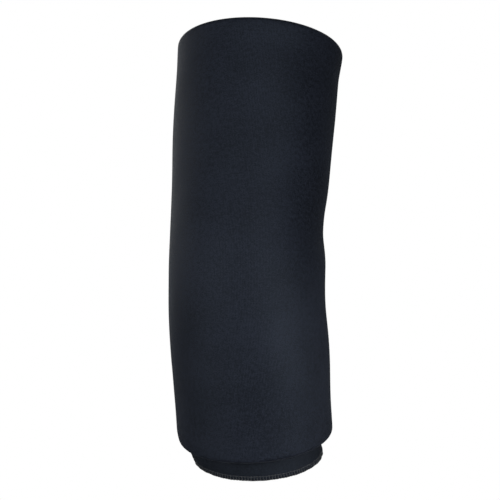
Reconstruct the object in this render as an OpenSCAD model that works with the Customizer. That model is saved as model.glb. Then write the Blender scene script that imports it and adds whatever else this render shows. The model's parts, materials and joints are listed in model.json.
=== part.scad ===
// Padded elbow sleeve: a pre-bent, three-layer tube worn over the elbow.
// Two tubes, one round the upper arm and one round the forearm, meet in a mitre at the
// elbow centre. The wall is an outer cover, a foam layer and a knit lining. The foam is
// left out of the crook, so the arm can bend, and a domed pad fills it over the elbow point.
// The origin is on the upper arm's axis, at the middle of the gripper band. +Z is up the
// sleeve, -Y is the side of the elbow point, and the sleeve bends about an axis along X.

/* [Sleeve] */
// Upper tube, from the elbow centre to the top edge
upper_length = 144; // [120:0.5:170]
// Forearm tube, from the elbow centre to the lower edge of the outer cover
forearm_length = 109.6; // [100:0.1:150]
// Outer radius at the top opening
top_radius = 51.4; // [48:0.1:60]
// Outer radius at the elbow
elbow_radius = 47.2; // [44:0.1:49]
// Outer radius at the fullest part of the forearm
forearm_radius = 49.2; // [48:0.1:54]
// Outer radius at the lower edge of the outer cover
lower_radius = 48.3; // [46:0.1:52]

/* [Bend] */
// Bend moulded into the sleeve at rest, in degrees
rest_bend = 32; // [20:1:36]
// Furthest bend that the sleeve allows, in degrees
full_bend = 105; // [80:1:110]

/* [Layers] */
// Thickness of the outer cover
cover_thickness = 1; // [0.6:0.1:1.2]
// Thickness of the foam
foam_thickness = 5.4; // [3:0.1:6]
// Thickness of the knit lining
lining_thickness = 0.9; // [0.6:0.1:1.2]

/* [Openings] */
// Height of the elastic gripper band in the top opening
band_height = 25; // [15:1:28]
// Thickness of the gripper band
band_thickness = 0.85; // [0.6:0.05:1.2]
// Length of the cuff that shows below the outer cover
cuff_shows = 13.6; // [8:0.1:20]
// Length of the cuff that is hidden inside the outer cover
cuff_hidden = 14; // [12:1:20]
// Thickness of the folded cuff
cuff_thickness = 1.6; // [1.4:0.1:2]

/* [Elbow pad] */
// Half of the pad shell's width
pad_half_width = 36; // [26:1:38]
// Half of the angle that the pad shell covers along the arm, in degrees
pad_half_angle = 35; // [28:1:36]
// Thickness of the soft cushion inside the pad
cushion_thickness = 3; // [2:0.5:4]

/* [Hidden] */
$fn = 96;

black = [0.10, 0.11, 0.13];
knit_black = [0.13, 0.14, 0.16];
foam_grey = [0.26, 0.27, 0.29];
thread_grey = [0.20, 0.21, 0.23];

half_rest = rest_bend / 2;
half_full = full_bend / 2;
layer_gap = 0.15;         // between layers that lie on each other
node_gap = 0.2;           // between nodes that follow each other along the sleeve
body_gap = 0.3;           // between parts that move past each other
contact_gap = 0.02;       // between parts that are fixed to each other
cut_margin = 1;           // how far a cutting shape stands out of what it cuts
big = 300;                // larger than the sleeve

// Depths of the layers below the outer surface
foam_out = cover_thickness + layer_gap;
foam_in = foam_out + foam_thickness;
lining_out = foam_in + layer_gap;
lining_in = lining_out + lining_thickness;

// Places along a tube, measured from the elbow centre
straight_elbow = 30;                              // the tubes are cylinders near the elbow
roll_radius = lining_in / 2;                      // half-round edge of the top hem
straight_top = band_height + roll_radius + 2;     // the top of the upper tube is a cylinder
hem_depth = 12;                                   // how far the turned edges reach inside
band_top = upper_length - roll_radius;
band_middle = band_top - band_height / 2;
band_radius = top_radius - lining_in - layer_gap - band_thickness;
fullest_place = 60;                               // where the forearm is fullest
straight_bottom = hem_depth + 4;                  // the end of the forearm tube is a cylinder
elbow_reach = 90;                                 // the elbow's parts lie within this distance
cuff_radius = lower_radius - lining_out;
cuff_top = forearm_length - cuff_hidden;
cuff_bottom = forearm_length + cuff_shows;

// Clearances at the elbow
hinge_gap = 3;            // from the elbow centre to each tube's rigid parts
back_slope = 11;          // extra angle cut off the tubes on the elbow-point side
pad_radius = elbow_radius - foam_out;

// Stitching, seam and label
stitch_height = 1.4;
stitch_depth = 0.3;
seam_width = 5;
seam_height = 0.45;
label_width = 22;
label_height = 26;
label_thickness = 0.3;
label_drop = 4;           // from the gripper band down to the label

// Silicone rings in the gripper band
silicone_rows = 3;
silicone_height = 3;
silicone_depth = 0.5;
silicone_pitch = band_height / (silicone_rows + 0.5);

// Cushion and pocket on the lining behind the pad shell
cushion_out = lining_in + layer_gap;
pocket_out = cushion_out + cushion_thickness + layer_gap;
pocket_thickness = 0.6;
pocket_half_width = pad_half_width - 6;
pocket_half_angle = pad_half_angle - 4;
pocket_border = [3, 3];   // how far it passes the cushion, in mm across and in degrees along

// Lower edge and cuff
lower_edge_width = lining_out - node_gap / 2;
channel_height = 11;
channel_thickness = 0.7;
overlock_height = 3;
overlock_proud = 0.3;
overlock_below = 0.5;

function arc(centre, radius, from, to, steps = 10) =
    [for (i = [0:steps]) let (a = from + (to - from) * i / steps)
        [centre[0] + radius * cos(a), centre[1] + radius * sin(a)]];

// Outer profiles as [radius, distance from the elbow centre]
upper_profile = [[elbow_radius, -straight_elbow], [elbow_radius, straight_elbow],
                 [top_radius, upper_length - straight_top], [top_radius, upper_length]];
forearm_profile = [[elbow_radius, -straight_elbow], [elbow_radius, straight_elbow],
                   [forearm_radius, fullest_place], [lower_radius, forearm_length - straight_bottom],
                   [lower_radius, forearm_length]];

// Frames -----------------------------------------------------------------------------

module at_elbow() {
    translate([0, -band_middle * sin(half_rest), -band_middle * cos(half_rest)]) children();
}

// Local +Z runs up the upper arm from the elbow centre
module on_upper() {
    at_elbow() rotate([-half_rest, 0, 0]) children();
}

// Local +Z runs down the forearm from the elbow centre, and +Y stays on the crook's side
module on_forearm() {
    at_elbow() rotate([half_rest, 0, 0]) mirror([0, 0, 1]) children();
}

// Solids of revolution ---------------------------------------------------------------

// A tube's solid body, "inset" below its outer surface, cut square at both ends
module body(profile, inset, extra = 0) {
    last = profile[len(profile) - 1];
    points = concat([[0, profile[0][1]]],
                    [for (p = profile) [p[0] - inset, p[1]]],
                    [[last[0] - inset, last[1] + extra], [0, last[1] + extra]]);
    rotate_extrude() polygon(points);
}

// The layer of a tube between two depths, cut square at "end"
module layer(profile, outer, inner, end) {
    intersection() {
        difference() {
            body(profile, outer);
            body(profile, inner, cut_margin);
        }
        translate([0, 0, -straight_elbow]) cylinder(r = big / 2, h = straight_elbow + end);
    }
}

module ring(outer, inner, low, high) {
    translate([0, 0, low]) difference() {
        cylinder(r = outer, h = high - low);
        translate([0, 0, -cut_margin]) cylinder(r = inner, h = high - low + 2 * cut_margin);
    }
}

// A sheet turned inwards over a foam edge: outer wall, half-round edge and inner flange
module turned_edge(outer, width, end, depth, thickness) {
    roll = width / 2;
    centre = [outer - roll, end - roll];
    rotate_extrude() polygon(concat(
        [[outer, end - depth]],
        arc(centre, roll, 0, 180),
        [[outer - width, end - depth], [outer - width + thickness, end - depth]],
        arc(centre, roll - thickness, 180, 0),
        [[outer - thickness, end - depth]]));
}

// A foam tube's end, rounded to lie inside a turned edge
module rounded_end(outer, width, end, depth) {
    roll = width / 2;
    rotate_extrude() polygon(concat(
        [[outer, end - depth]],
        arc([outer - roll, end - roll], roll, 0, 180),
        [[outer - width, end - depth]]));
}

// Cutting shapes ---------------------------------------------------------------------

// The side of the elbow that a tube's rigid parts keep to, so that they never meet the
// other tube's: square on the elbow-point side, and half the full bend in the crook
module keep_side(gap = hinge_gap) {
    rotate([90, 0, 90]) linear_extrude(height = big, center = true)
        polygon([[-big, gap + big * tan(back_slope)], [0, gap],
                 [big, gap + big * tan(half_full)], [big, 3 * big], [-big, 3 * big]]);
}

// The space that the elbow pad swings through
module pad_sweep(gap = body_gap) {
    intersection() {
        sphere(r = pad_radius + gap);
        translate([-pad_half_width - gap, -big, -big / 2])
            cube([2 * (pad_half_width + gap), big, big]);
    }
}

// What a tube's foam and lining keep to
module keep_inner(gap = hinge_gap, sweep = body_gap) {
    difference() {
        keep_side(gap);
        pad_sweep(sweep);
    }
}

// A wedge about the elbow's axis on the elbow-point side
module back_wedge(half_angle) {
    at_elbow() rotate([90, 0, 90]) linear_extrude(height = big, center = true)
        polygon([[0, 0], [-big, big * tan(half_angle)], [-big, -big * tan(half_angle)]]);
}

// Both tubes' layer between two depths, mitred at the elbow centre
module mitred_layer(outer, inner) {
    intersection() {
        on_upper() layer(upper_profile, outer, inner, elbow_reach);
        at_elbow() translate([-big / 2, -big / 2, 0]) cube(big);
    }
    intersection() {
        on_forearm() layer(forearm_profile, outer, inner, elbow_reach);
        at_elbow() translate([-big / 2, -big / 2, -big]) cube(big);
    }
}

// Both tubes' solid bodies, mitred at the elbow centre
module mitred_body(inset) {
    intersection() {
        on_upper() body(upper_profile, inset);
        at_elbow() translate([-big / 2, -big / 2, 0]) cube(big);
    }
    intersection() {
        on_forearm() body(forearm_profile, inset);
        at_elbow() translate([-big / 2, -big / 2, -big]) cube(big);
    }
}

// The part of a layer that lies between the two tubes' rigid parts
module elbow_part(outer, inner) {
    difference() {
        mitred_layer(outer, inner);
        on_upper() keep_side(hinge_gap - node_gap);
        on_forearm() keep_side(hinge_gap - node_gap);
    }
}

// Upper arm --------------------------------------------------------------------------

module outer_cover_upper() {
    color(black) on_upper() union() {
        intersection() {
            layer(upper_profile, 0, cover_thickness, upper_length - hem_depth);
            keep_side();
        }
        turned_edge(top_radius, lining_in, upper_length, hem_depth, cover_thickness);
    }
}

module foam_upper() {
    color(foam_grey) on_upper() union() {
        intersection() {
            layer(upper_profile, foam_out, foam_in, upper_length - hem_depth);
            keep_inner();
        }
        rounded_end(top_radius - foam_out, foam_thickness,
                    upper_length - foam_out, hem_depth - foam_out);
    }
}

module lining_upper() {
    color(knit_black) on_upper() intersection() {
        layer(upper_profile, lining_out, lining_in, upper_length - hem_depth - node_gap);
        keep_inner();
    }
}

// Silicone rings set into the inside of the gripper band
module silicone_rings(clearance) {
    for (i = [0:silicone_rows - 1]) {
        middle = band_middle + (i - (silicone_rows - 1) / 2) * silicone_pitch;
        ring(band_radius + silicone_depth + clearance, band_radius - clearance,
             middle - silicone_height / 2 - clearance, middle + silicone_height / 2 + clearance);
    }
}

module gripper_band() {
    color(knit_black) on_upper() difference() {
        ring(band_radius + band_thickness, band_radius, band_top - band_height, band_top);
        silicone_rings(contact_gap);
    }
}

module gripper_silicone() {
    color("dimgray") on_upper() silicone_rings(0);
}

module gripper_stitching() {
    low_edge = band_top - band_height - node_gap;
    face = top_radius - lining_in - contact_gap;
    color(thread_grey) on_upper()
        ring(face, face - stitch_depth, low_edge - stitch_height, low_edge);
}

module care_label() {
    label_top = band_top - band_height - label_drop;
    label_out = lining_in + layer_gap;
    color("white") on_upper() intersection() {
        layer(upper_profile, label_out, label_out + label_thickness, upper_length);
        translate([0, -label_width / 2, label_top - label_height])
            cube([big, label_width, label_height]);
    }
}

// The strip of a layer that the cover's flat seam takes, along the crook side
module seam_slab() {
    translate([-seam_width / 2, 0, -big]) cube([seam_width, big, 2 * big]);
}

module cover_seam_upper() {
    color(thread_grey) on_upper() intersection() {
        layer(upper_profile, -seam_height, -contact_gap, upper_length - roll_radius);
        keep_side();
        seam_slab();
    }
}

// Elbow ------------------------------------------------------------------------------

module outer_cover_elbow() {
    color(black) elbow_part(0, cover_thickness);
}

module lining_elbow() {
    color(knit_black) difference() {
        mitred_layer(lining_out, lining_in);
        on_upper() keep_inner(hinge_gap - node_gap, body_gap - node_gap);
        on_forearm() keep_inner(hinge_gap - node_gap, body_gap - node_gap);
    }
}

module cover_seam_elbow() {
    color(thread_grey) intersection() {
        elbow_part(-seam_height, -contact_gap);
        at_elbow() seam_slab();
    }
}

module elbow_pad_shell() {
    color(foam_grey) difference() {
        intersection() {
            at_elbow() sphere(r = pad_radius);
            back_wedge(pad_half_angle);
            at_elbow() translate([-pad_half_width, -big, -big / 2])
                cube([2 * pad_half_width, big, big]);
        }
        mitred_body(foam_in);
    }
}

module inner_pad_layer(outer, inner, half_width, half_angle) {
    intersection() {
        mitred_layer(outer, inner);
        back_wedge(half_angle);
        at_elbow() translate([-half_width, -big, -big / 2]) cube([2 * half_width, big, big]);
    }
}

module elbow_pad_cushion() {
    color("slategray")
        inner_pad_layer(cushion_out, cushion_out + cushion_thickness,
                        pocket_half_width - pocket_border[0], pocket_half_angle - pocket_border[1]);
}

module pad_pocket() {
    color(knit_black)
        inner_pad_layer(pocket_out, pocket_out + pocket_thickness,
                        pocket_half_width, pocket_half_angle);
}

// Forearm ----------------------------------------------------------------------------

module outer_cover_forearm() {
    color(black) on_forearm() union() {
        intersection() {
            layer(forearm_profile, 0, cover_thickness, forearm_length - hem_depth);
            keep_side();
        }
        turned_edge(lower_radius, lower_edge_width, forearm_length, hem_depth, cover_thickness);
    }
}

module foam_forearm() {
    edge_width = lower_edge_width - 2 * foam_out;
    color(foam_grey) on_forearm() union() {
        intersection() {
            layer(forearm_profile, foam_out, foam_in, forearm_length - hem_depth - node_gap);
            keep_inner();
        }
        rounded_end(lower_radius - foam_out, edge_width,
                    forearm_length - foam_out, hem_depth - foam_out + node_gap);
    }
}

module lining_forearm() {
    color(knit_black) on_forearm() intersection() {
        layer(forearm_profile, lining_out, lining_in, cuff_top - stitch_height - 2 * node_gap);
        keep_inner();
    }
}

// The space for the elastic inside the folded cuff, open at the lower edge
module channel(clearance) {
    middle = cuff_radius - cuff_thickness / 2;
    half = channel_thickness / 2 + clearance;
    ring(middle + half, middle - half, cuff_bottom - channel_height, cuff_bottom + clearance);
}

module cuff() {
    color(knit_black) on_forearm() difference() {
        ring(cuff_radius, cuff_radius - cuff_thickness, cuff_top, cuff_bottom);
        channel(contact_gap);
    }
}

module cuff_elastic() {
    color("gray") on_forearm() intersection() {
        channel(0);
        cylinder(r = big / 2, h = cuff_bottom - node_gap);
    }
}

module cuff_overlock() {
    inner_face = cuff_radius + contact_gap;
    low_edge = cuff_bottom + overlock_below;
    color(thread_grey) on_forearm() union() {
        ring(cuff_radius + overlock_proud, inner_face, cuff_bottom - overlock_height, low_edge);
        ring(inner_face, cuff_radius - cuff_thickness, cuff_bottom + contact_gap, low_edge);
    }
}

module cuff_join_stitching() {
    color(thread_grey) on_forearm()
        ring(cuff_radius, cuff_radius - lining_thickness,
             cuff_top - stitch_height - node_gap, cuff_top - node_gap);
}

module cover_seam_forearm() {
    color(thread_grey) on_forearm() intersection() {
        layer(forearm_profile, -seam_height, -contact_gap, forearm_length - lower_edge_width / 2);
        keep_side();
        seam_slab();
    }
}

outer_cover_upper();
foam_upper();
lining_upper();
gripper_band();
gripper_silicone();
gripper_stitching();
care_label();
cover_seam_upper();
outer_cover_elbow();
elbow_pad_shell();
elbow_pad_cushion();
pad_pocket();
lining_elbow();
cover_seam_elbow();
outer_cover_forearm();
foam_forearm();
lining_forearm();
cuff();
cuff_elastic();
cuff_overlock();
cuff_join_stitching();
cover_seam_forearm();
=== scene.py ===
import json
import math

import bmesh
import bpy
import numpy as np
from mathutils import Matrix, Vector


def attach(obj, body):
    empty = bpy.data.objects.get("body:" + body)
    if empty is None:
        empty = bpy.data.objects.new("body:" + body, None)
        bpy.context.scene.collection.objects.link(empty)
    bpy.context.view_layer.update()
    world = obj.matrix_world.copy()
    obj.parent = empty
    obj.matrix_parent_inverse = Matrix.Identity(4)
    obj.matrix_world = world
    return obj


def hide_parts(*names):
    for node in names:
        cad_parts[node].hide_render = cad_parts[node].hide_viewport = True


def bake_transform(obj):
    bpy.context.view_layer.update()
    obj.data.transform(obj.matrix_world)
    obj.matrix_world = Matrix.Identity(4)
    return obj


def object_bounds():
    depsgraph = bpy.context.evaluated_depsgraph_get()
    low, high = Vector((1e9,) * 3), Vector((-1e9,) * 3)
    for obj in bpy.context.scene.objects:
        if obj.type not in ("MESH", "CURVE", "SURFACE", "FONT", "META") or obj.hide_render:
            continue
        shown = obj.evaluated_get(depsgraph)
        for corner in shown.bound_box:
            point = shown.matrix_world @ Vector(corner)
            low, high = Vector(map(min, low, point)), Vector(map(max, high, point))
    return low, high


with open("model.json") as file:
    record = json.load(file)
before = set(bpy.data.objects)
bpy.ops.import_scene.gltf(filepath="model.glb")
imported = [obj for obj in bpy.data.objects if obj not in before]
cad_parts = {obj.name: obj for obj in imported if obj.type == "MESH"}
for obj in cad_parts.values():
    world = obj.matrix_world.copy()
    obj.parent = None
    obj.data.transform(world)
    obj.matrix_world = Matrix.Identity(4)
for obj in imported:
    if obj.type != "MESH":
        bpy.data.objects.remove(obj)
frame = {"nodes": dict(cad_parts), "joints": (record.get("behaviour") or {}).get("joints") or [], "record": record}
cad_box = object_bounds()

# A padded elbow sleeve. A place on it is (along, around, depth): metres up the sleeve from
# the elbow, negative on the forearm; degrees round it, with 0 on the +X side and 90 in the
# crook; and metres below the cover's outer surface.

MM = 0.001
CROOK = 90.0
ELBOW_POINT = -90.0


# --------------------------------------------------------------- sizes, from the frame

def reach(node, axis):
    """How far a CAD node's points are from the elbow along a limb's axis, and out from it."""
    points = np.array([v.co for v in frame["nodes"][node].data.vertices], float)
    points -= np.array(elbow)
    along = points @ np.array(axis)
    return along, np.linalg.norm(points - np.outer(along, axis), axis=1)


mounts = {m["name"]: m for m in frame["record"]["mounts"]}
hinge = next(j for j in frame["joints"] if j["name"] == "elbow_flex")
elbow = Vector(hinge["pos_m"])
upper_axis = Vector(mounts["upper_arm_opening"]["axis"])
lower_axis = Vector(mounts["forearm_opening"]["axis"])
HALF_BEND = math.atan2(upper_axis.y, upper_axis.z)

TOP = reach("outer_cover_upper", upper_axis)[0].max()
LOW = reach("outer_cover_forearm", lower_axis)[0].max()
CUFF_TOP = reach("cuff", lower_axis)[0].min()
CUFF_END = reach("cuff", lower_axis)[0].max()
TOP_RADIUS = reach("outer_cover_upper", upper_axis)[1].max()
FOREARM_RADIUS = reach("outer_cover_forearm", lower_axis)[1].max()
ELBOW_RADIUS = 47.2 * MM
LOWER_RADIUS = 48.3 * MM
BAND_TOP = reach("gripper_band", upper_axis)[0].max()
BAND_LOW = reach("gripper_band", upper_axis)[0].min()
LABEL_LOW = reach("care_label", upper_axis)[0].min()
LABEL_HIGH = reach("care_label", upper_axis)[0].max()

# Depths of the layers below the cover's outer surface
COVER = 1.0 * MM
GAP = 0.15 * MM
FOAM_OUT = COVER + GAP
FOAM_THICKNESS = 5.4 * MM
FOAM_IN = FOAM_OUT + FOAM_THICKNESS
LINING_OUT = FOAM_IN + GAP
LINING_IN = LINING_OUT + 0.9 * MM
BAND_OUT = LINING_IN + GAP
BAND_IN = TOP_RADIUS - mounts["upper_arm_opening"]["dims"]["r_mm"] * MM
CUFF_OUT = LOWER_RADIUS - reach("cuff", lower_axis)[1].max()
CUFF_IN = LOWER_RADIUS - mounts["forearm_opening"]["dims"]["r_mm"] * MM

HEM_DEPTH = 12 * MM
TOP_ROLL = LINING_IN / 2
LOWER_HEM = LINING_OUT - 0.1 * MM
LOWER_ROLL = LOWER_HEM / 2


# --------------------------------------------------------------- the sleeve's shape

BEND_LENGTH = 45 * MM
AROUND = 160


def smooth(x):
    x = np.clip(x, 0.0, 1.0)
    return x * x * (3 - 2 * x)


def ramp(x, start, end, low, high):
    return low + (high - low) * smooth((x - start) / (end - start))


def bend_path(half_bend, steps=240):
    """The centreline through the elbow: along, y, z and tilt at each step."""
    run = np.linspace(-BEND_LENGTH, BEND_LENGTH, steps + 1)
    tilt = half_bend * np.sin(np.pi / 2 * run / BEND_LENGTH)
    step = run[1] - run[0]
    middle = (tilt[1:] + tilt[:-1]) / 2
    y = np.concatenate([[0], np.cumsum(np.sin(middle) * step)])
    z = np.concatenate([[0], np.cumsum(np.cos(middle) * step)])
    z -= z[-1] / 2
    end = z[-1] / math.cos(half_bend)
    y += end * math.sin(half_bend) - y[-1]
    return run * end / BEND_LENGTH, y, z, tilt


BEND_PATH = bend_path(HALF_BEND)


def centreline(along, path):
    """y, z and tilt of a bent sleeve's centreline, from the elbow."""
    run, y, z, tilt = path
    half_bend = tilt[-1]
    bent = np.abs(along) < run[-1]
    straight_y = np.abs(along) * math.sin(half_bend)
    straight_z = along * math.cos(half_bend)
    straight_tilt = np.sign(along) * half_bend
    return (np.where(bent, np.interp(along, run, y), straight_y),
            np.where(bent, np.interp(along, run, z), straight_z),
            np.where(bent, np.interp(along, run, tilt), straight_tilt))


# Soft folds in the crook: where each is in the crook and at the sides, how many degrees
# it reaches round the sleeve, how deep it is and how wide.
FOLDS = [
    (33 * MM, 11 * MM, 138, 2.7 * MM, 7 * MM),
    (-15 * MM, -9 * MM, 74, 1.6 * MM, 6.5 * MM),
    (6 * MM, 3 * MM, 66, 1.3 * MM, 5.5 * MM),
    (50 * MM, 44 * MM, 60, 0.8 * MM, 9 * MM),
]


def folds(along, around):
    """How far the folds take the surface in, with a low swell on the forearm side of each."""
    turn = np.abs((around - CROOK + 180) % 360 - 180)
    total = np.zeros(np.broadcast(along, around).shape)
    for crook_place, side_place, spread, depth, width in FOLDS:
        place = ramp(turn, 60, 130, crook_place, side_place)
        strength = smooth((spread - turn) / (0.75 * spread))
        from_fold = (along - place) / (width * ramp(turn, 45, 85, 1.0, 2.2))
        swell = np.exp(-((from_fold + 1.7) / 1.2) ** 2)
        total += depth * strength * (np.exp(-from_fold ** 2) - 0.45 * swell)
    return total


def unevenness(along, around):
    """The slight waviness of stretched fabric over foam, fading out at both ends."""
    angle = np.radians(around)
    waves = (np.sin(2 * angle + 31 * along + 0.7) + 0.6 * np.sin(3 * angle - 57 * along + 2.1)
             + 0.35 * np.sin(5 * angle + 83 * along + 4.0) + 0.2 * np.sin(9 * angle - 121 * along))
    ends = smooth((TOP - along) / (30 * MM)) * smooth((along + LOW) / (25 * MM))
    return 0.22 * MM * waves * ends


PAD_SWELL = 4.2 * MM
FLAT_SIDE = 0.7 * MM
WAIST = 1.0 * MM
HIP = 1.2 * MM


def fit(along, around):
    """Where the worn shape leaves a round tube: the pad's swell over the elbow point, the top
    edge's flare, a flatter +X side on the upper arm, and on the -X side a narrower elbow and
    a swell above the lower edge."""
    angle = np.radians(around)
    plus_x, minus_x = np.clip(np.cos(angle), 0, 1), np.clip(-np.cos(angle), 0, 1)
    pad = PAD_SWELL * np.exp(-(along / (30 * MM)) ** 2) * np.clip(-np.sin(angle), 0, 1) ** 1.5
    flare = (1.0 + 0.6 * np.cos(angle)) * MM * smooth((along - TOP + 20 * MM) / (20 * MM))
    upper = smooth(along / (20 * MM)) * smooth((TOP - 10 * MM - along) / (30 * MM))
    flat = FLAT_SIDE * plus_x * upper
    waist = WAIST * minus_x * np.exp(-((along + 8 * MM) / (18 * MM)) ** 2)
    hip = HIP * minus_x * (
        smooth((-along - 60 * MM) / (35 * MM)) - smooth((-along - LOW + 9 * MM) / (12 * MM)))
    return pad + flare + hip - flat - waist


def drawn_radius(along, around):
    """The cover's outer radius before its cloth settles, without its folds."""
    tube = np.where(along > 0,
                    ramp(along, 12 * MM, TOP - 28 * MM, ELBOW_RADIUS, TOP_RADIUS),
                    ramp(-along, 4 * MM, 58 * MM, ELBOW_RADIUS, FOREARM_RADIUS)
                    - ramp(-along, 60 * MM, LOW - 14 * MM, 0, FOREARM_RADIUS - LOWER_RADIUS))
    return tube + fit(along, around) + unevenness(along, around)


def place(along, around, radius, path=BEND_PATH):
    """Points at a radius from a bent sleeve's centreline."""
    y, z, tilt = centreline(along, path)
    angle = np.radians(around)
    out = radius * np.sin(angle)
    x = radius * np.cos(angle)
    x, y, z = np.broadcast_arrays(x, y + out * np.cos(tilt), z - out * np.sin(tilt))
    return np.stack([x, y, z], axis=-1) + np.array(elbow)


# --------------------------------------------------------------- the cover's cloth

SIM_ROWS, SIM_COLUMNS = 70, 84
SIM_ALONG = np.linspace(-LOW + LOWER_ROLL, TOP - TOP_ROLL, SIM_ROWS)
SIM_FRAMES = 24
SIM_SCALE = 10.0         # the solver is steadiest on something about a metre across
SEWN_BEND = 0.82 * HALF_BEND
MOST_MOVE = 4 * MM
CLOTH_GAP = 0.5 * MM
HOLLOW = 4.5 * MM
HOLLOW_REACH = 62 * MM
HELD_TOP = 34 * MM
HELD_LOW = 28 * MM
HELD_FADE = 14 * MM


def foam_hollow(along, around):
    """How far the padding under the cover falls away in the crook, where the foam is cut."""
    towards_crook = np.clip(np.sin(np.radians(around)), 0, 1)
    cut = HOLLOW_REACH * towards_crook
    return HOLLOW * smooth((cut - np.abs(along)) / (22 * MM)) * smooth(towards_crook / 0.35)


def sim_object(name, points):
    """A tube mesh for the solver, from points[row, column]."""
    rows, columns = points.shape[:2]
    i, j = np.meshgrid(np.arange(rows - 1), np.arange(columns), indexing="ij")
    after = (j + 1) % columns
    faces = np.stack([i * columns + j, i * columns + after, (i + 1) * columns + after,
                      (i + 1) * columns + j], -1).reshape(-1, 4)
    mesh = bpy.data.meshes.new(name)
    mesh.from_pydata((points * SIM_SCALE).reshape(-1, 3).tolist(), [], faces.tolist())
    tube = bpy.data.objects.new(name, mesh)
    bpy.context.scene.collection.objects.link(tube)
    return tube


def settle_cover():
    """Moves of the cover's cloth, out from the centreline, as it settles on the padding. It
    was sewn less bent than it is held, so there is cloth to spare in the crook."""
    along, around = SIM_ALONG[:, None], CROOK + 360.0 * np.arange(SIM_COLUMNS) / SIM_COLUMNS
    radius = drawn_radius(along, around)
    start = place(along, around, radius - folds(along, around))
    sewn = place(along, around, radius, bend_path(SEWN_BEND))
    padding = place(along, around, radius - 1.2 * MM - foam_hollow(along, around))

    under = sim_object("padding", padding)
    under.modifiers.new("Collision", "COLLISION")
    under.collision.thickness_outer = CLOTH_GAP * SIM_SCALE
    under.collision.cloth_friction = 8

    cloth = sim_object("cloth", start)
    held = np.clip(np.maximum((SIM_ALONG - TOP + HELD_TOP) / HELD_FADE,
                              (-SIM_ALONG - LOW + HELD_LOW) / HELD_FADE), 0, 1)
    group = cloth.vertex_groups.new(name="held")
    for row, weight in enumerate(held):
        if weight > 0:
            first = row * SIM_COLUMNS
            group.add(list(range(first, first + SIM_COLUMNS)), float(weight), "REPLACE")
    cloth.shape_key_add(name="Basis")
    key = cloth.shape_key_add(name="sewn")
    key.data.foreach_set("co", (sewn * SIM_SCALE).ravel())
    modifier = cloth.modifiers.new("Cloth", "CLOTH")
    modifier.point_cache.frame_start, modifier.point_cache.frame_end = 1, SIM_FRAMES
    settings = modifier.settings
    settings.rest_shape_key = key
    settings.vertex_group_mass = "held"
    settings.quality = 8
    settings.mass = 0.4
    settings.tension_stiffness = settings.compression_stiffness = 40
    settings.shear_stiffness = 15
    settings.bending_stiffness = 6
    settings.tension_damping = settings.compression_damping = 20
    settings.air_damping = 6
    settings.use_pressure = True
    settings.uniform_pressure_force = 0.3
    settings.effector_weights.gravity = 0
    modifier.collision_settings.distance_min = CLOTH_GAP * SIM_SCALE
    modifier.collision_settings.collision_quality = 3

    for number in range(1, SIM_FRAMES + 1):
        bpy.context.scene.frame_set(number)
    settled = cloth.evaluated_get(bpy.context.evaluated_depsgraph_get()).to_mesh()
    points = np.empty(SIM_ROWS * SIM_COLUMNS * 3)
    settled.vertices.foreach_get("co", points)
    points = points.reshape(SIM_ROWS, SIM_COLUMNS, 3) / SIM_SCALE
    bpy.context.scene.frame_set(1)
    for tube in (cloth, under):
        bpy.data.objects.remove(tube)

    outward = place(along, around, radius + MM) - place(along, around, radius)
    moves = np.sum((points - start) * outward, axis=-1) / MM
    return np.clip(moves, -MOST_MOVE, MOST_MOVE) * (1 - held[:, None])


def spline(share):
    """The weights of four neighbours a step apart, share of a step past the second."""
    f = share[..., None]
    return np.concatenate([(1 - f) ** 3, 3 * f ** 3 - 6 * f ** 2 + 4,
                           -3 * f ** 3 + 3 * f ** 2 + 3 * f + 1, f ** 3], -1) / 6


def settled_move(along, around):
    """The settled cloth's move at any place, smoothly between the solver's points."""
    along, around = np.broadcast_arrays(np.asarray(along, float), np.asarray(around, float))
    row = np.clip((along - SIM_ALONG[0]) / (SIM_ALONG[1] - SIM_ALONG[0]), 0, SIM_ROWS - 1)
    column = ((around - CROOK) % 360) / 360 * SIM_COLUMNS
    i, j = np.floor(row).astype(int), np.floor(column).astype(int)
    row_weights, column_weights = spline(row - i), spline(column - j)
    total = np.zeros(along.shape)
    for a in range(4):
        for b in range(4):
            at = settled[np.clip(i + a - 1, 0, SIM_ROWS - 1), (j + b - 1) % SIM_COLUMNS]
            total += row_weights[..., a] * column_weights[..., b] * at
    return total


settled = settle_cover()


CUFF_LEAN = 2.3 * MM
CUFF_PRESS = 1.8 * MM


def cuff_shift(along):
    """How far the cuff stands to the +X side: it presses on the -X side of the lower hem,
    and hangs back to the +X side below it."""
    hidden = smooth((-along - CUFF_TOP) / (LOW - CUFF_TOP))
    below = smooth((-along - LOW) / (CUFF_END - LOW)) ** 2
    return CUFF_LEAN * below - CUFF_PRESS * hidden


def squeeze(along, around):
    """How much thinner the lower hem is where the cuff presses on it."""
    return np.clip(-cuff_shift(along), 0, None) * np.clip(-np.cos(np.radians(around)), 0, 1)


def on_sleeve(along, around, depth=0.0):
    """The point in space, or the points, of a place on the sleeve."""
    radius = drawn_radius(along, around) - folds(along, around) + settled_move(along, around)
    pressed = squeeze(along, around) * np.clip(depth / LINING_OUT, 0, 1)
    return place(along, around, radius + pressed - depth)


# --------------------------------------------------------------- meshes

def quad_grid(rows, columns, wrap_rows=False, wrap_columns=False):
    """Faces of a grid of points, and for each corner of them its row and column."""
    i, j = np.meshgrid(np.arange(rows if wrap_rows else rows - 1),
                       np.arange(columns if wrap_columns else columns - 1), indexing="ij")
    corner_rows = np.stack([i, i, i + 1, i + 1], -1).reshape(-1, 4)
    corner_columns = np.stack([j, j + 1, j + 1, j], -1).reshape(-1, 4)
    faces = (corner_rows % rows) * columns + corner_columns % columns
    return faces, corner_rows, corner_columns


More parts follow.
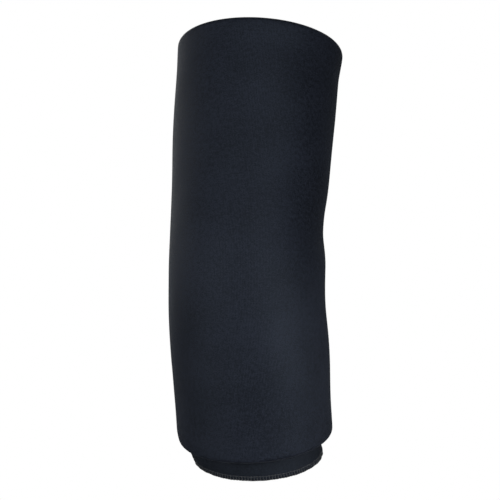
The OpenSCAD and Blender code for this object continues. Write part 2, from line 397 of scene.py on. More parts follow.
def add_piece(name, parts, material):
    """One smooth-shaded mesh object from parts, which are (points, faces, uvs). A part's uvs
    are None, or metres across and along the fabric for each corner of each face."""
    points, faces, uvs, first = [], [], [], 0
    for part_points, part_faces, part_uvs in parts:
        points.append(np.asarray(part_points).reshape(-1, 3))
        faces += [[first + k for k in face] for face in np.asarray(part_faces, object).tolist()]
        uvs.append(None if part_uvs is None else np.asarray(part_uvs, np.float32).ravel())
        first += len(points[-1])
    mesh = bpy.data.meshes.new(name)
    mesh.from_pydata(np.concatenate(points).tolist(), [], faces)
    if all(u is not None for u in uvs):
        mesh.uv_layers.new(name="UVMap").data.foreach_set("uv", np.concatenate(uvs))
    tidy = bmesh.new()
    tidy.from_mesh(mesh)
    bmesh.ops.recalc_face_normals(tidy, faces=tidy.faces)
    tidy.to_mesh(mesh)
    tidy.free()
    mesh.shade_smooth()
    mesh.materials.append(material)
    piece = bpy.data.objects.new(name, mesh)
    bpy.context.scene.collection.objects.link(piece)
    return piece


def lengths(points):
    """How far along a line of points each is, and the length once it is closed."""
    steps = np.linalg.norm(np.roll(points, -1, axis=0) - points, axis=1)
    return np.concatenate([[0], np.cumsum(steps)])


def ring(profile, surface=on_sleeve, columns=AROUND):
    """A closed profile of (along, depth) pairs, swept all the way round the sleeve. A pair's
    numbers may be arrays with one value for each column."""
    around = CROOK + np.arange(columns) * 360.0 / columns
    along = np.stack([np.broadcast_to(p[0], around.shape) for p in profile])
    depth = np.stack([np.broadcast_to(p[1], around.shape) for p in profile])
    points = surface(along, around[None, :], depth)
    faces, rows, turns = quad_grid(len(profile), columns, True, True)
    width = 2 * math.pi * ELBOW_RADIUS * np.arange(columns + 1) / columns
    uvs = np.stack([width[turns], lengths(points[:, columns // 2])[rows]], -1)
    return points, faces, uvs


def line(start, end, step):
    """(along, depth) pairs from start up to, and not at, end."""
    count = max(1, math.ceil(np.max(np.abs(np.subtract(end[0], start[0]))) / step))
    return [(start[0] + (end[0] - start[0]) * i / count,
             start[1] + (end[1] - start[1]) * i / count) for i in range(count)]


EDGE_SQUARENESS = 2.4     # 2 is a half circle, and more is flatter at the edge


def half_turn(edge, radius, depth, way, steps=14):
    """Pairs round a turned edge, whose far side is at edge and whose middle is at depth. It
    goes from the deep side to the outer side (way 1) or back (way -1)."""
    sign = 1 if edge > 0 else -1
    pairs = []
    for i in range(steps):
        t = math.pi * i / steps
        out = math.sin(t) ** (2 / EDGE_SQUARENESS)
        side = math.copysign(abs(math.cos(t)) ** (2 / EDGE_SQUARENESS), math.cos(t))
        pairs.append((edge - sign * radius * (1 - out), depth + way * radius * side))
    return pairs


def sweep(sections):
    """A closed tube with flat ends, from sections[row, corner] in space."""
    rows, corners = sections.shape[:2]
    faces, _, _ = quad_grid(rows, corners, False, True)
    ends = [list(range(corners))[::-1], [(rows - 1) * corners + k for k in range(corners)]]
    return sections, faces.tolist() + ends, None


def threads(paths, radius, sides=6):
    """Round threads, from paths[thread, point] in space."""
    paths = np.asarray(paths, float)
    length = paths.shape[1]
    tangent = np.gradient(paths, axis=1)
    tangent /= np.linalg.norm(tangent, axis=2, keepdims=True)
    side = np.cross(tangent[:, 0], [0.31, 0.52, 0.79])
    angle = np.arange(sides) * 2 * np.pi / sides
    rings = []
    for k in range(length):
        ahead = tangent[:, k]
        side = side - np.sum(side * ahead, axis=1, keepdims=True) * ahead
        side /= np.linalg.norm(side, axis=1, keepdims=True)
        other = np.cross(ahead, side)
        thick = radius * (0.6 if k in (0, length - 1) else 1.0)
        spokes = (np.cos(angle)[None, :, None] * side[:, None]
                  + np.sin(angle)[None, :, None] * other[:, None])
        rings.append(paths[:, k, None] + thick * spokes)
    return [sweep(sections) for sections in np.stack(rings, axis=1)]


def pillow(half_width, half_height, outer, inner, rings=14, columns=72):
    """A patch over the elbow point with a rounded outline, between two depths that are
    functions of how far out from its middle a place is, from 0 to 1."""
    angle = np.arange(columns) * 2 * np.pi / columns
    corner = 0.62
    across = half_width * np.sign(np.cos(angle)) * np.abs(np.cos(angle)) ** corner
    along = half_height * np.sign(np.sin(angle)) * np.abs(np.sin(angle)) ** corner
    shares = np.sin(np.linspace(0, np.pi / 2, rings + 1))[1:]
    levels = [(s, outer(s)) for s in shares] + [(s, inner(s)) for s in shares[::-1]]
    share = np.array([s for s, _ in levels])[:, None]
    depth = np.array([d for _, d in levels])[:, None]
    degrees = ELBOW_POINT + np.degrees(across[None] * share / ELBOW_RADIUS)
    points = on_sleeve(along[None] * share, degrees, depth).reshape(-1, 3)
    flat = np.stack([across[None] * share, along[None] * share], -1).reshape(-1, 2)
    middles = [on_sleeve(0.0, ELBOW_POINT, outer(0)), on_sleeve(0.0, ELBOW_POINT, inner(0))]
    faces, _, _ = quad_grid(len(levels), columns, False, True)
    faces = faces.tolist()
    last = (len(levels) - 1) * columns
    for k in range(columns):
        after = (k + 1) % columns
        faces.append([len(points), k, after])
        faces.append([len(points) + 1, last + after, last + k])
    flat = np.concatenate([flat, [[0, 0], [0, 0]]])
    uvs = np.concatenate([flat[face].ravel() for face in faces])
    return np.concatenate([points, middles]), faces, uvs


def zigzag(turns):
    """A zigzag between -1 and 1 with rounded corners, one for each whole turn."""
    sharp = 0.96
    return np.arcsin(sharp * np.sin(2 * np.pi * turns)) / math.asin(sharp)


def sunk(wave, radius):
    """How far a stitch's thread stands off the fabric: it goes in at each of its corners."""
    return radius * (0.7 - 1.9 * np.abs(wave) ** 8)


def zigzag_round(middle, half_height, depth, pitch, radius, fine=10):
    """A zigzag stitch all the way round the inside of the sleeve."""
    count = round(2 * math.pi * (ELBOW_RADIUS - depth) / pitch)
    turns = np.arange(count * fine) / fine
    around = CROOK + 360.0 * turns / count
    wave = zigzag(turns)
    along = middle + half_height * wave
    path = on_sleeve(along, around, depth + sunk(wave, radius))
    return threads([path], radius)


def bends(piece, slot, *nodes):
    """piece is fabric or foam that crosses the elbow, in place of these CAD nodes."""
    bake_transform(piece)
    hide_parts(*nodes)
    return piece


def rides(piece, body, slot, *nodes):
    """piece moves with one body, in place of these CAD nodes."""
    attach(piece, body)
    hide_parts(*nodes)
    return piece


# --------------------------------------------------------------- materials

class Shader:
    """A node material, built one node at a time around a Principled BSDF."""

    def __init__(self, name, **values):
        self.material = bpy.data.materials.new(name)
        self.material.use_nodes = True
        self.nodes = self.material.node_tree.nodes
        self.links = self.material.node_tree.links
        self.surface = self.nodes["Principled BSDF"]
        for key, value in values.items():
            self.surface.inputs[key.replace("_", " ")].default_value = value

    def add(self, kind, inputs=(), **settings):
        """A node; inputs are (socket, value or another node's output) pairs."""
        node = self.nodes.new("ShaderNode" + kind)
        for key, value in settings.items():
            setattr(node, key, value)
        for socket, value in inputs:
            if isinstance(value, bpy.types.NodeSocket):
                self.links.new(value, node.inputs[socket])
            else:
                node.inputs[socket].default_value = value
        return node

    def math(self, operation, a, b=0.0):
        return self.add("Math", [(0, a), (1, b)], operation=operation).outputs[0]

    def uv(self):
        """u and v of the piece's UV map, which are in metres."""
        uv = self.add("UVMap", uv_map="UVMap").outputs[0]
        parts = self.add("SeparateXYZ", [(0, uv)])
        return uv, parts.outputs[0], parts.outputs[1]

    def noise(self, vector, scale, detail=2.0, roughness=0.5):
        """Noise whose cells are 1 / scale metres across."""
        node = self.add("TexNoise", [("Vector", vector), ("Scale", scale), ("Detail", detail),
                                     ("Roughness", roughness)])
        return node.outputs[0]

    def mix(self, share, low, high):
        """A colour between two colours."""
        node = self.add("Mix", data_type="RGBA")
        self.links.new(share, node.inputs[0])
        node.inputs[6].default_value = (*low, 1)
        node.inputs[7].default_value = (*high, 1)
        return node.outputs[2]

    def with_lint(self, colour, vector):
        """colour, with a speck of pale lint every few centimetres."""
        cells = self.add("TexVoronoi", [("Vector", vector), ("Scale", 60.0)])
        near = self.range(cells.outputs["Distance"], 0.012, 0.022, 1.0, 0.0)
        chance = self.add("SeparateXYZ", [(0, cells.outputs["Color"])]).outputs[0]
        share = self.math("MULTIPLY", near, self.math("GREATER_THAN", chance, 0.75))
        node = self.add("Mix", [(0, share), (6, colour), (7, (0.055, 0.060, 0.068, 1))],
                        data_type="RGBA")
        return node.outputs[2]

    def range(self, value, low, high, to_low=0.0, to_high=1.0):
        node = self.add("MapRange", [(0, value), (1, low), (2, high), (3, to_low), (4, to_high)])
        return node.outputs[0]

    def bump(self, height, distance, strength=1.0):
        node = self.add("Bump", [("Height", height), ("Distance", distance),
                                 ("Strength", strength)])
        self.links.new(node.outputs[0], self.surface.inputs["Normal"])

    def feed(self, socket, value):
        self.links.new(value, self.surface.inputs[socket])


def knit(name, dark, light, wale, course, relief, sheen, roughness=0.75):
    """Stretch knit: rows of small stitches, with yarns of slightly different tones and painted shade between the
    stitches.
    """
    s = Shader(name, Sheen_Weight=sheen, Sheen_Roughness=0.42, Specular_IOR_Level=0.25)
    s.surface.inputs["Sheen Tint"].default_value = (0.80, 0.88, 1.0, 1)
    s.surface.inputs["Specular Tint"].default_value = (0.66, 0.80, 1.0, 1)
    uv, u, v = s.uv()
    across = s.math("MULTIPLY", u, 2 * math.pi / wale)
    up = s.math("MULTIPLY", v, 2 * math.pi / course)
    lean = s.math("MULTIPLY", s.math("SINE", up), 1.1)
    columns = s.math("COSINE", s.math("ADD", across, lean))
    stitches = s.math("COSINE", s.math("ADD", up, s.math("MULTIPLY", across, 0.5)))
    loops = s.math("ADD", s.math("MULTIPLY", columns, 0.34), s.math("MULTIPLY", stitches, 0.16))
    fuzz = s.noise(uv, 1300, 3.0, 0.6)
    height = s.math("ADD", s.math("ADD", loops, 0.5), s.math("MULTIPLY", fuzz, 0.7))
    s.bump(height, relief, 0.9)
    mottle = s.noise(uv, 450, 4.0, 0.65)
    grain = s.noise(uv, 1500, 2.0, 0.5)
    cloud = s.noise(uv, 26, 2.0, 0.5)
    tone = s.math("ADD", s.math("MULTIPLY", mottle, 0.55), s.math("MULTIPLY", grain, 0.6))
    tone = s.math("ADD", tone, s.math("MULTIPLY", cloud, 0.25))
    # painted shade: the stitches' raised loops lighter and the hollows between them darker
    tone = s.math("ADD", tone, s.math("MULTIPLY", loops, 0.2))
    yarn_tone_and_stitch_shade = s.mix(s.range(tone, 0.60, 0.80), dark, light)
    s.feed("Base Color", s.with_lint(yarn_tone_and_stitch_shade, uv))
    s.feed("Roughness", s.range(mottle, 0.3, 0.7, roughness - 0.08, roughness + 0.08))
    return s.material


def plain(name, dark, light, scale, relief, roughness, **values):
    """A surface with fine grain all over, such as foam, thread or silicone."""
    s = Shader(name, **values)
    place = s.add("TexCoord").outputs["Object"]
    grain = s.noise(place, scale, 4.0, 0.6)
    s.feed("Base Color", s.mix(s.range(grain, 0.3, 0.7), dark, light))
    s.feed("Roughness", s.range(grain, 0.3, 0.7, roughness - 0.1, roughness + 0.1))
    s.bump(grain, relief)
    return s.material


cover_fabric = knit("cover_fabric", (0.0052, 0.0064, 0.0102), (0.0180, 0.0218, 0.0340),
                    0.85 * MM, 0.62 * MM, 0.05 * MM, 0.08, 0.58)
lining_fabric = knit("lining_fabric", (0.014, 0.015, 0.018), (0.032, 0.034, 0.039),
                     1.3 * MM, 1.0 * MM, 0.10 * MM, 0.25)
cuff_fabric = knit("cuff_fabric", (0.0044, 0.0054, 0.0080), (0.0130, 0.0158, 0.0230),
                   1.0 * MM, 0.9 * MM, 0.08 * MM, 0.06, 0.65)
band_fabric = knit("band_fabric", (0.010, 0.011, 0.013), (0.024, 0.025, 0.029),
                   0.9 * MM, 1.6 * MM, 0.10 * MM, 0.2)
foam_material = plain("foam", (0.075, 0.075, 0.080), (0.125, 0.125, 0.130), 1500, 0.1 * MM, 0.9)
cushion_material = plain("cushion_foam", (0.12, 0.13, 0.14), (0.19, 0.20, 0.21), 1200, 0.1 * MM,
                         0.9)
silicone = plain("silicone", (0.030, 0.031, 0.034), (0.045, 0.046, 0.050), 900, 0.02 * MM, 0.34,
                 Coat_Weight=0.25)
elastic_material = plain("elastic", (0.20, 0.20, 0.20), (0.36, 0.36, 0.35), 1600, 0.1 * MM, 0.8)
label_material = plain("label_ribbon", (0.62, 0.62, 0.60), (0.78, 0.78, 0.76), 2200, 0.03 * MM,
                       0.55)
seam_fabric = plain("seam_fabric", (0.008, 0.010, 0.014), (0.022, 0.026, 0.034), 1500, 0.1 * MM,
                    0.75, Sheen_Weight=0.3)
black_thread = plain("black_thread", (0.009, 0.012, 0.017), (0.042, 0.048, 0.058), 2600,
                     0.08 * MM, 0.7, Sheen_Weight=0.3)


# --------------------------------------------------------------- outer cover

FINE = 1.7 * MM
COARSE = 3.4 * MM


def cover_face():
    """The cover's outer face: up inside the top hem, over it, down the outside of the sleeve,
    and up inside the lower hem."""
    up, down = TOP - TOP_ROLL, LOW - LOWER_ROLL
    return (line((TOP - HEM_DEPTH, LINING_IN), (up, LINING_IN), FINE)
            + half_turn(TOP, TOP_ROLL, TOP_ROLL, 1)
            + line((up, 0), (-down, 0), FINE)
            + half_turn(-LOW, LOWER_ROLL, LOWER_ROLL, -1)
            + line((-down, LOWER_HEM), (-LOW + HEM_DEPTH, LOWER_HEM), FINE))


def outer_cover():
    """The cover, turned in over both ends, with its own thickness."""
    up, down = TOP - TOP_ROLL, LOW - LOWER_ROLL
    back = (
        line((-LOW + HEM_DEPTH, LOWER_HEM), (-LOW + HEM_DEPTH, LOWER_HEM - COVER), COVER)
        + line((-LOW + HEM_DEPTH, LOWER_HEM - COVER), (-down, LOWER_HEM - COVER), COARSE)
        + half_turn(-LOW + COVER, LOWER_ROLL - COVER, LOWER_ROLL, 1, 6)
        + line((-down, COVER), (up, COVER), COARSE)
        + half_turn(TOP - COVER, TOP_ROLL - COVER, TOP_ROLL, -1, 6)
        + line((up, LINING_IN - COVER), (TOP - HEM_DEPTH, LINING_IN - COVER), COARSE)
        + [(TOP - HEM_DEPTH, LINING_IN - COVER)])
    piece = add_piece("sleeve_cover", [ring(cover_face() + back)], cover_fabric)
    bends(piece, "outer_cover", "outer_cover_upper", "outer_cover_elbow", "outer_cover_forearm")


SEAM_WIDTH = 5 * MM
SEAM_HEIGHT = 0.4 * MM
SEAM_PITCH = 2.2 * MM
SEAM_THREAD = 0.16 * MM
SEAM_ZIGZAG = 0.36       # how far out the threads go, as a share of the width
# The strip's section, as shares of its width and of its height
SEAM_SECTION = [(-0.5, 0.02), (-0.47, 0.7), (-0.40, 1.0), (-0.12, 0.92), (0, 0.78),
                (0.12, 0.92), (0.40, 1.0), (0.47, 0.7), (0.5, 0.02)]


def raised(pairs, lift):
    """(along, depth) pairs moved out of the fabric by lift, which may differ along them."""
    path = np.array(pairs)
    way = np.gradient(path, axis=0)
    way /= np.linalg.norm(way, axis=1, keepdims=True)
    return path + np.stack([-way[:, 1], way[:, 0]], -1) * np.reshape(lift, (-1, 1))


def on_seam(pairs, across, lift):
    """Points on the seam: across is how far to the side of its middle each is."""
    path = raised(pairs, lift)
    return on_sleeve(path[:, 0], CROOK + np.degrees(across / ELBOW_RADIUS), path[:, 1])


def cover_seam():
    """The long seam that closes the cover: a raised band in the crook, over both hems, and
    the two crossing zigzag threads that hold it flat."""
    pairs = cover_face()
    corners = [on_seam(pairs, SEAM_WIDTH * x, SEAM_HEIGHT * y) for x, y in SEAM_SECTION]
    strip = add_piece("seam_strip", [sweep(np.stack(corners, axis=1))], seam_fabric)
    bends(strip, "cover_seam", "cover_seam_upper", "cover_seam_elbow", "cover_seam_forearm")

    path = np.array(pairs)
    length = lengths(path)[:-1]
    place = np.arange(0, length[-1], SEAM_PITCH / 12)
    fine = np.stack([np.interp(place, length, path[:, k]) for k in (0, 1)], -1)
    paths = []
    for half in (0, 0.5):
        wave = zigzag(place / SEAM_PITCH + half)
        lift = SEAM_HEIGHT + sunk(wave, SEAM_THREAD)
        paths.append(on_seam(fine, SEAM_ZIGZAG * SEAM_WIDTH * wave, lift))
    bends(add_piece("seam_stitches", threads(paths, SEAM_THREAD), black_thread), "thread")


# --------------------------------------------------------------- inside the sleeve

HINGE_GAP = 3 * MM
FOAM_EDGE = FOAM_THICKNESS / 2
PAD_HALF_WIDTH = 35 * MM
PAD_HALF_HEIGHT = 21.5 * MM
CUSHION_HALF_WIDTH = 26 * MM
CUSHION_HALF_HEIGHT = 21 * MM
CUSHION_BULGE = 3.0 * MM
POCKET_HALF_WIDTH = 30 * MM
POCKET_HALF_HEIGHT = 24.5 * MM
POCKET_WALL = 0.6 * MM
CROOK_CUT = math.tan(math.radians(52.5))
BACK_CUT = math.tan(math.radians(-11))


def lining():
    """The knit lining, from just below the top hem to just above the cuff."""
    top, low = TOP - HEM_DEPTH - 0.3 * MM, CUFF_TOP - 2.2 * MM
    profile = (line((top, LINING_OUT), (-low, LINING_OUT), FINE)
               + line((-low, LINING_OUT), (-low, LINING_IN), FINE)
               + line((-low, LINING_IN), (top, LINING_IN), FINE)
               + [(top, LINING_IN)])
    piece = add_piece("sleeve_lining", [ring(profile)], lining_fabric)
    bends(piece, "lining", "lining_upper", "lining_elbow", "lining_forearm")


def foam_end(around, depth):
    """How far from the elbow the foam starts: close behind the elbow point, where it leaves
    room for the pad, and a long way up in the crook, where it is cut away in a V."""
    towards_crook = (ELBOW_RADIUS - depth) * np.sin(np.radians(around))
    start = HINGE_GAP + towards_crook * np.where(towards_crook > 0, CROOK_CUT, BACK_CUT)
    over_pad = smooth((-np.sin(np.radians(around)) - 0.6) / 0.15)
    share = (depth - FOAM_OUT) / FOAM_THICKNESS
    room_for_pad = (12 + 11 * share) * MM
    return np.maximum(start, room_for_pad * over_pad)


def foam(name, node, end, roll, sign):
    """The foam of one limb: rounded inside the hem at end, and cut back at the elbow."""
    around = CROOK + np.arange(AROUND) * 360.0 / AROUND
    near_out = sign * foam_end(around, FOAM_OUT)
    near_in = sign * foam_end(around, FOAM_IN)
    far = sign * (end - FOAM_OUT)
    turn = far - sign * roll
    skived = FOAM_OUT + 2 * roll
    profile = (line((near_out, FOAM_OUT), (turn, FOAM_OUT), COARSE)
               + half_turn(far, roll, FOAM_OUT + roll, -1, 8)
               + line((turn, skived), (sign * (end - HEM_DEPTH), skived), COARSE)
               + line((sign * (end - HEM_DEPTH), skived),
                      (sign * (end - HEM_DEPTH - 0.5 * MM), FOAM_IN), COARSE)
               + line((sign * (end - HEM_DEPTH - 0.5 * MM), FOAM_IN), (near_in, FOAM_IN), COARSE)
               + [(near_in, FOAM_IN)])
    piece = add_piece(name, [ring(profile)], foam_material)
    bends(piece, "foam", node)


def elbow_pad():
    """The domed foam over the elbow point, the soft cushion behind it and its pocket."""
    def dome(share):
        return FOAM_OUT + 0.05 * MM + (FOAM_THICKNESS - 0.7 * MM) * share ** 2

    def pad_back(share):
        return FOAM_IN - 0.05 * MM

    pad = add_piece("elbow_pad_foam", [pillow(PAD_HALF_WIDTH, PAD_HALF_HEIGHT, dome, pad_back)],
                    foam_material)
    bends(pad, "foam", "elbow_pad_shell")

    face = LINING_IN + 0.2 * MM

    def crown(share):
        return math.sqrt(max(0.0, 1 - share ** 4))

    def cushion_out(share):
        return face

    def cushion_in(share):
        return face + 0.3 * MM + CUSHION_BULGE * crown(share)

    cushion = pillow(CUSHION_HALF_WIDTH, CUSHION_HALF_HEIGHT, cushion_out, cushion_in)
    piece = add_piece("elbow_cushion", [cushion], cushion_material)
    bends(piece, "pad_cushion", "elbow_pad_cushion")

    def pocket_out(share):
        border = 0.45 * MM * smooth((1 - share) / 0.1)
        return face + border + CUSHION_BULGE * crown(min(1, share / 0.9))

    def pocket_in(share):
        return pocket_out(share) + POCKET_WALL

    pocket = pillow(POCKET_HALF_WIDTH, POCKET_HALF_HEIGHT, pocket_out, pocket_in, 22)
    pocket = add_piece("elbow_pocket", [pocket], lining_fabric)
    bends(pocket, "lining", "pad_pocket")


RIB_PITCH = 1.5 * MM
RIB_HEIGHT = 0.12 * MM
BEAD_HEIGHT = 3 * MM
BEAD_RISE = 0.32 * MM
BAND_STITCH_HALF_HEIGHT = 0.7 * MM
BAND_STITCH_PITCH = 2.4 * MM
BAND_THREAD = 0.15 * MM


def grip_band():
    """The ribbed elastic inside the top opening, its silicone beads and its stitching."""
    ribbed = [
        (a, BAND_IN - RIB_HEIGHT * (1 + math.cos(2 * math.pi * (a - BAND_LOW) / RIB_PITCH)))
        for a, _ in line((BAND_LOW, BAND_IN), (BAND_TOP, BAND_IN), RIB_PITCH / 6)]
    profile = line((BAND_TOP, BAND_OUT), (BAND_LOW, BAND_OUT), COARSE)
    profile += [(BAND_LOW, BAND_OUT)] + ribbed
    band = add_piece("grip_band", [ring(profile)], band_fabric)
    rides(band, "upper_arm", "gripper_band", "gripper_band")

    beads = []
    turns = np.linspace(0, 2 * math.pi, 17)[:-1]
    for place in (-1, 0, 1):
        middle = (BAND_TOP + BAND_LOW) / 2 + place * (BAND_TOP - BAND_LOW) / 3.5
        beads.append(ring([(middle + BEAD_HEIGHT / 2 * math.cos(t),
                            BAND_IN - 0.1 * MM + BEAD_RISE * math.sin(t)) for t in turns]))
    piece = add_piece("grip_silicone", beads, silicone)
    rides(piece, "upper_arm", "silicone", "gripper_silicone")

    stitches = []
    for middle, depth in ((BAND_LOW - 0.9 * MM, LINING_IN), (BAND_TOP - 1.4 * MM, BAND_IN)):
        stitches += zigzag_round(middle, BAND_STITCH_HALF_HEIGHT, depth, BAND_STITCH_PITCH,
                                 BAND_THREAD)
    piece = add_piece("grip_stitches", stitches, black_thread)
    rides(piece, "upper_arm", "thread", "gripper_stitching")


LABEL_HALF_WIDTH = 11 * MM
LABEL_THICKNESS = 0.2 * MM
LABEL_LIFT = 2.2 * MM
LABEL_WAVE = 0.35 * MM
LABEL_ROWS, LABEL_COLUMNS = 27, 23
LABEL_STITCHES = 9


def on_label(up, across, depth):
    """A place on the label: up it and across it, from 0 to 1, and depth below its outer face."""
    along = LABEL_LOW + (LABEL_HIGH - LABEL_LOW) * up
    lift = LABEL_LIFT * (1 - up) ** 2 + LABEL_WAVE * np.sin(7 * up + 3 * across) * (1 - up)
    around = np.degrees(LABEL_HALF_WIDTH * (2 * across - 1) / (ELBOW_RADIUS - LINING_IN))
    return on_sleeve(along, around, LINING_IN + 0.25 * MM + depth + lift)


def care_label():
    """A blank satin ribbon that hangs below the band, sewn down along its top edge."""
    up, across = np.meshgrid(np.linspace(0, 1, LABEL_ROWS), np.linspace(0, 1, LABEL_COLUMNS),
                             indexing="ij")
    outer, inner = on_label(up, across, 0), on_label(up, across, LABEL_THICKNESS)
    rows = np.concatenate([outer, inner[::-1]])
    faces, _, _ = quad_grid(len(rows), LABEL_COLUMNS, True, False)
    rim = len(rows) - 1
    for row in range(LABEL_ROWS - 1):
        corners = (row, row + 1, rim - row - 1, rim - row)
        for column in (0, LABEL_COLUMNS - 1):
            side_face = [[corner * LABEL_COLUMNS + column for corner in corners]]
            faces = np.concatenate([faces, side_face])
    label = add_piece("care_label_ribbon", [(rows, faces, None)], label_material)
    rides(label, "upper_arm", "label", "care_label")
    turns = np.arange(0, LABEL_STITCHES, 0.1)
    path = on_label(0.965 + 0.012 * zigzag(turns), 0.04 + 0.92 * turns / LABEL_STITCHES,
                    LABEL_THICKNESS + 0.05 * MM)
    rides(add_piece("label_stitches", threads([path], 0.12 * MM), black_thread), "upper_arm",
          "thread")


# --------------------------------------------------------------- cuff

CUFF_WALL = 0.4 * MM
CHANNEL = 11 * MM
STITCH_PITCH = 1.9 * MM
OVERLOCK_HEIGHT = 2.7 * MM
OVERLOCK_THREAD = 0.17 * MM
CUFF_WAIST = 1.4 * MM
CUFF_PUCKER = 0.10 * MM
CUFF_DRAW = 0.9 * MM
CUFF_HANG = 1.1 * MM
CUFF_ROUND = 0.12 * MM
CUFF_STEP = 0.8 * MM
ELASTIC_GAP = 0.06 * MM
JOIN_HALF_HEIGHT = 0.8 * MM
JOIN_PITCH = 2.6 * MM
JOIN_THREAD = 0.16 * MM


def on_cuff(along, around, depth):
    """A place on the cuff. The cuff leans, hangs lower on the +X side, has a waist just below
    the hem, and is puckered by its elastic."""
    below = smooth((-along - LOW) / (CUFF_END - LOW))
    angle = np.radians(around)
    lean = cuff_shift(along) * np.cos(angle) - squeeze(along, around)
    free = 1 - np.clip(-np.cos(angle), 0, 1)
    waist = CUFF_WAIST * free * np.exp(-((-along - LOW) / (6 * MM)) ** 2)
    pucker = CUFF_PUCKER * (np.sin(37 * angle) + 0.7 * np.sin(23 * angle + 1) + np.sin(11 * angle))
    hang = CUFF_HANG * np.cos(angle) * below
    drawn = below * (pucker + CUFF_DRAW)
    return on_sleeve(along - hang, around, depth + waist + drawn - lean)


def cuff():
    """The knit cuff: folded at its upper edge, with its elastic between the two walls."""
    outer, inner = CUFF_OUT, CUFF_IN
    channel_top = -(CUFF_END - CHANNEL)
    gap_out, gap_in = outer + CUFF_WALL, inner - CUFF_WALL
    fold = (inner - outer) / 2
    fold_start = -CUFF_TOP - fold
    rounded = -CUFF_END - CUFF_ROUND
    fine = CUFF_STEP
    profile = (line((fold_start, outer), (-CUFF_END, outer), fine)
               + [(rounded, outer + CUFF_WALL / 2)]
               + line((-CUFF_END, gap_out), (channel_top, gap_out), fine)
               + line((channel_top, gap_out), (channel_top, gap_in), fine)
               + line((channel_top, gap_in), (-CUFF_END, gap_in), fine)
               + [(-CUFF_END, gap_in), (rounded, inner - CUFF_WALL / 2)]
               + line((-CUFF_END, inner), (fold_start, inner), fine)
               + [(fold_start + fold * math.sin(t), (outer + inner) / 2 + fold * math.cos(t))
                  for t in np.linspace(0, math.pi, 7)[:-1]])
    piece = add_piece("knit_cuff", [ring(profile, on_cuff, 2 * AROUND)], cuff_fabric)
    rides(piece, "forearm", "cuff", "cuff")

    low, high = -CUFF_END + 0.5 * MM, channel_top - 0.2 * MM
    out, back = gap_out + ELASTIC_GAP, gap_in - ELASTIC_GAP
    profile = (line((high, out), (low, out), fine) + line((low, out), (low, back), fine)
               + line((low, back), (high, back), fine) + [(high, back)])
    piece = add_piece("cuff_elastic_band", [ring(profile, on_cuff)], elastic_material)
    rides(piece, "forearm", "elastic", "cuff_elastic")


def overlock():
    """The overlocked edge: a looper thread that wraps the cuff's lower edge, and a needle
    thread along its tops."""
    count = round(2 * math.pi * (LOWER_RADIUS - CUFF_OUT) / STITCH_PITCH)
    middle = (CUFF_OUT + CUFF_IN) / 2
    half = (CUFF_IN - CUFF_OUT) / 2 + OVERLOCK_THREAD * 0.8

    # One loop as (turn, height, side): up the outer face, round the edge and up the inner one
    loop = [(0.00, 1.00, -0.98), (0.04, 0.72, -1), (0.10, 0.40, -1), (0.18, 0.10, -0.98),
            (0.26, -0.10, -0.5), (0.30, -0.14, 0), (0.36, -0.10, 0.5), (0.44, 0.10, 0.98),
            (0.58, 0.55, 1), (0.64, 0.62, 1), (0.68, 0.50, 1), (0.74, 0.12, 0.98),
            (0.80, -0.10, 0.5), (0.84, -0.16, 0), (0.88, -0.10, -0.5), (0.92, 0.12, -0.98),
            (0.96, 0.45, -1), (0.99, 0.85, -1)]
    stitch = np.arange(count)[:, None]
    turn, height, side = (np.array([p[k] for p in loop])[None] for k in range(3))
    turns = (stitch + turn).ravel()
    height = np.tile(height, (count, 1)).ravel() * OVERLOCK_HEIGHT
    side = np.tile(side, (count, 1)).ravel() * half
    around = CROOK + 360.0 * turns / count
    along = -CUFF_END + height
    looper = on_cuff(along, around, middle + side)
    parts = threads([looper], OVERLOCK_THREAD)

    turns = np.arange(count * 8) / 8
    around = CROOK + 360.0 * turns / count
    wave = np.cos(2 * np.pi * turns)
    along = -CUFF_END + OVERLOCK_HEIGHT * (1 + 0.04 * wave)
    depth = CUFF_OUT - OVERLOCK_THREAD * (0.9 - 1.1 * np.clip(wave, 0, 1) ** 3)
    needle = on_cuff(along, around, depth)
    parts += threads([needle], OVERLOCK_THREAD * 0.9)
    rides(add_piece("overlock_stitches", parts, black_thread), "forearm", "thread",
          "cuff_overlock")


def cuff_join():
    """The zigzag stitches between the cuff's upper edge and the lining."""
    join = zigzag_round(-CUFF_TOP + 1.0 * MM, JOIN_HALF_HEIGHT, CUFF_OUT + 0.5 * MM, JOIN_PITCH,
                        JOIN_THREAD)
    rides(add_piece("cuff_join_stitches", join, black_thread), "forearm", "thread",
          "cuff_join_stitching")


outer_cover()
cover_seam()
lining()
foam("upper_foam", "foam_upper", TOP, FOAM_EDGE, 1)
foam("forearm_foam", "foam_forearm", LOW, LOWER_ROLL - FOAM_OUT, -1)
elbow_pad()
grip_band()
care_label()
cuff()
overlock()
cuff_join()


# --------------------------------------------------------------- stage, lights and camera

CAMERA_AZIMUTH = math.radians(14)
CAMERA_DISTANCE = 1.0
PIXELS_PER_METRE = 1634
IMAGE_SIZE = 500
SENSOR = 36.0
AIM_RIGHT = 3.5 * MM
AIM_UP = 10.8 * MM
AMBIENT = 0.012


def add_camera():
    """Looks level, a little above and beside the elbow, as the sleeve is framed in the photo."""
    right = Vector((math.cos(CAMERA_AZIMUTH), math.sin(CAMERA_AZIMUTH), 0))
    back = Vector((math.sin(CAMERA_AZIMUTH), -math.cos(CAMERA_AZIMUTH), 0))
    data = bpy.data.cameras.new("camera")
    data.sensor_width = SENSOR
    data.lens = SENSOR * PIXELS_PER_METRE * CAMERA_DISTANCE / IMAGE_SIZE
    camera = bpy.data.objects.new("camera", data)
    camera.location = (elbow + back * CAMERA_DISTANCE + right * AIM_RIGHT
                       + Vector((0, 0, AIM_UP)))
    camera.rotation_mode = "QUATERNION"
    camera.rotation_quaternion = (-back).to_track_quat("-Z", "Y")
    bpy.context.scene.collection.objects.link(camera)
    bpy.context.scene.camera = camera


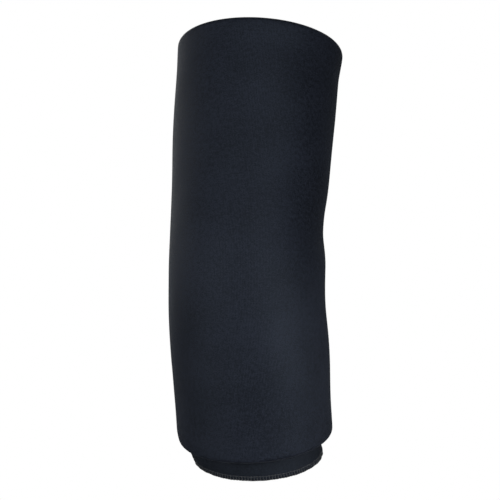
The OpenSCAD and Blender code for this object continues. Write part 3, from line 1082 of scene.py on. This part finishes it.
def add_softbox(name, azimuth, elevation, distance, width, aim, power):
    """A square light that faces the sleeve; azimuth 0 is the camera's side."""
    a, e = math.radians(azimuth) + CAMERA_AZIMUTH, math.radians(elevation)
    away = Vector((math.sin(a) * math.cos(e), -math.cos(a) * math.cos(e), math.sin(e)))
    data = bpy.data.lights.new(name, "AREA")
    data.size = width
    data.energy = power
    light = bpy.data.objects.new(name, data)
    light.location = elbow + away * distance + Vector((0, 0, aim))
    light.rotation_mode = "QUATERNION"
    light.rotation_quaternion = (-away).to_track_quat("-Z", "Y")
    bpy.context.scene.collection.objects.link(light)


def add_world():
    """A white studio: the camera sees plain white, and the object gets a soft, dim part of it."""
    world = bpy.data.worlds.new("studio")
    world.use_nodes = True
    nodes, links = world.node_tree.nodes, world.node_tree.links
    light = nodes["Background"]
    light.inputs[0].default_value = (0.86, 0.93, 1, 1)
    light.inputs[1].default_value = AMBIENT
    backdrop = nodes.new("ShaderNodeBackground")
    backdrop.inputs[0].default_value = (1, 1, 1, 1)
    mix = nodes.new("ShaderNodeMixShader")
    links.new(nodes.new("ShaderNodeLightPath").outputs["Is Camera Ray"], mix.inputs[0])
    links.new(light.outputs[0], mix.inputs[1])
    links.new(backdrop.outputs[0], mix.inputs[2])
    links.new(mix.outputs[0], nodes["World Output"].inputs[0])
    bpy.context.scene.world = world
    bpy.context.scene.view_settings.view_transform = "Standard"


FLOOR_DROP = 0.3
FLOOR_RADIUS = 1.2


def add_floor():
    """A pale round floor well below the sleeve, which fades to white at its rim."""
    s = Shader("floor", Roughness=0.8, Specular_IOR_Level=0.2)
    place = s.add("TexCoord").outputs["Object"]
    out = s.add("VectorMath", [(0, place)], operation="LENGTH").outputs["Value"]
    fade = s.range(out, 0.35 * FLOOR_RADIUS, 0.97 * FLOOR_RADIUS, 0.50, 1.0)
    s.feed("Base Color", s.mix(s.noise(place, 3.0), (0.80, 0.80, 0.79), (0.84, 0.84, 0.83)))
    s.feed("Emission Strength", fade)
    s.surface.inputs["Emission Color"].default_value = (1, 1, 1, 1)
    angle = np.linspace(0, 2 * math.pi, 97)[:-1]
    rim = np.stack([np.cos(angle), np.sin(angle), 0 * angle], -1) * FLOOR_RADIUS
    floor = add_piece("floor", [(rim, [list(range(len(rim)))], None)], s.material)
    floor.location = elbow + Vector((0, 0, cad_box[0][2] - elbow.z - FLOOR_DROP))
    floor.visible_diffuse = floor.visible_glossy = False


# For each light: azimuth from the camera and elevation, in degrees; distance, size and height
# of its aim above the elbow, in metres; and power, in watts
SOFTBOXES = {
    "front_right": (33, 10, 1.3, 0.6, 0.0, 5.0),
    "front_left": (-40, 10, 1.3, 0.6, 0.0, 4.0),
    "top": (0, 40, 1.3, 0.6, 0.0, 2.2),
    "left": (-110, 10, 1.3, 0.6, 0.0, 1.8),
    "back_left": (-150, 10, 1.3, 0.6, 0.0, 0.9),
    "back_right": (165, 35, 1.3, 0.6, 0.0, 1.8),
    "low_front": (-10, -25, 0.7, 0.4, 0.0, 0.60),
    "low_left": (-60, -25, 0.7, 0.4, 0.0, 0.75),
    "near_right": (50, 0, 0.22, 0.14, -0.11, 0.16),
    "near_rim": (90, 0, 0.22, 0.14, -0.12, 0.028),
}

add_camera()
add_world()
add_floor()
for name, (azimuth, elevation, distance, width, aim, power) in SOFTBOXES.items():
    add_softbox(name, azimuth, elevation, distance, width, aim, power)
